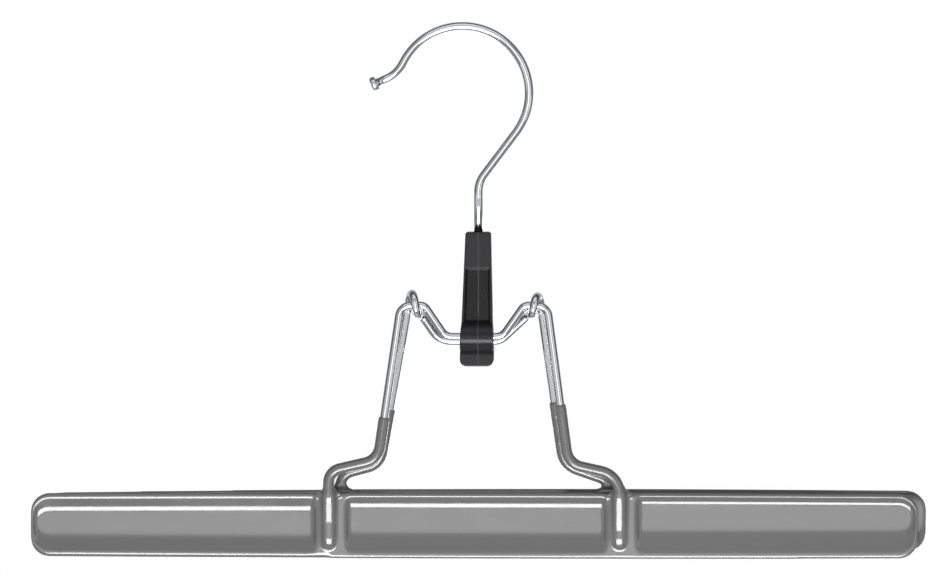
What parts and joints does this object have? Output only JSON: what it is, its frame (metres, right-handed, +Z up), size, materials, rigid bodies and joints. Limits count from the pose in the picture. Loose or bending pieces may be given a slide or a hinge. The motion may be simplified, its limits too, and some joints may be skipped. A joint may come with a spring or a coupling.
{
  "type": "trouser clamp hanger",
  "caption": "Trouser hanger: swivelling wire hook, moulded tilt latch and two bent wire frames that pinch a pair of plastic-dipped steel jaw bars.",
  "frame": {"origin": "Rail seat: the point on the hook's inside surface straight above the shank's axis", "axes": "+X along the jaws, to the right as seen in the picture; +Y away from the viewer, from the front jaw to the rear jaw; +Z up, along the hook's shank"},
  "size_m": [0.3518, 0.0156, 0.2106],
  "materials": {
    "chromed_wire": "bright nickel and chrome plate on drawn steel wire",
    "black_moulding": "satin injection moulding in black",
    "sheet_steel": "pressed sheet, hidden inside the dipped coating",
    "grey_dip": "glossy grey plastisol dip"
  },
  "bodies": {
    "hook": {"hook_wire": "chromed_wire"},
    "latch": {"latch_lever": "black_moulding"},
    "front_frame": {"front_wire": "chromed_wire", "front_jaw_plate": "sheet_steel", "front_jaw_coating": "grey_dip"},
    "rear_frame": {"rear_wire": "chromed_wire", "rear_jaw_plate": "sheet_steel", "rear_jaw_coating": "grey_dip"}
  },
  "joints": [
    {"name": "hook_swivel", "type": "hinge", "parent": "hook", "child": "latch", "pos_m": [0, 0, -0.084], "axis": [0, 0, 1], "continuous": true},
    {"name": "latch_tilt", "type": "hinge", "parent": "latch", "child": "front_frame", "pos_m": [0, -0.0022, -0.1192], "axis": [1, 0, 0], "range_deg": [0, 45]},
    {"name": "jaw_open", "type": "hinge", "parent": "front_frame", "child": "rear_frame", "pos_m": [0, -0.0022, -0.1069], "axis": [1, 0, 0], "range_deg": [0, 22.5]}
  ],
  "couplings": [
    {"joint": "jaw_open", "follows": "latch_tilt", "ratio": 0.5}
  ]
}
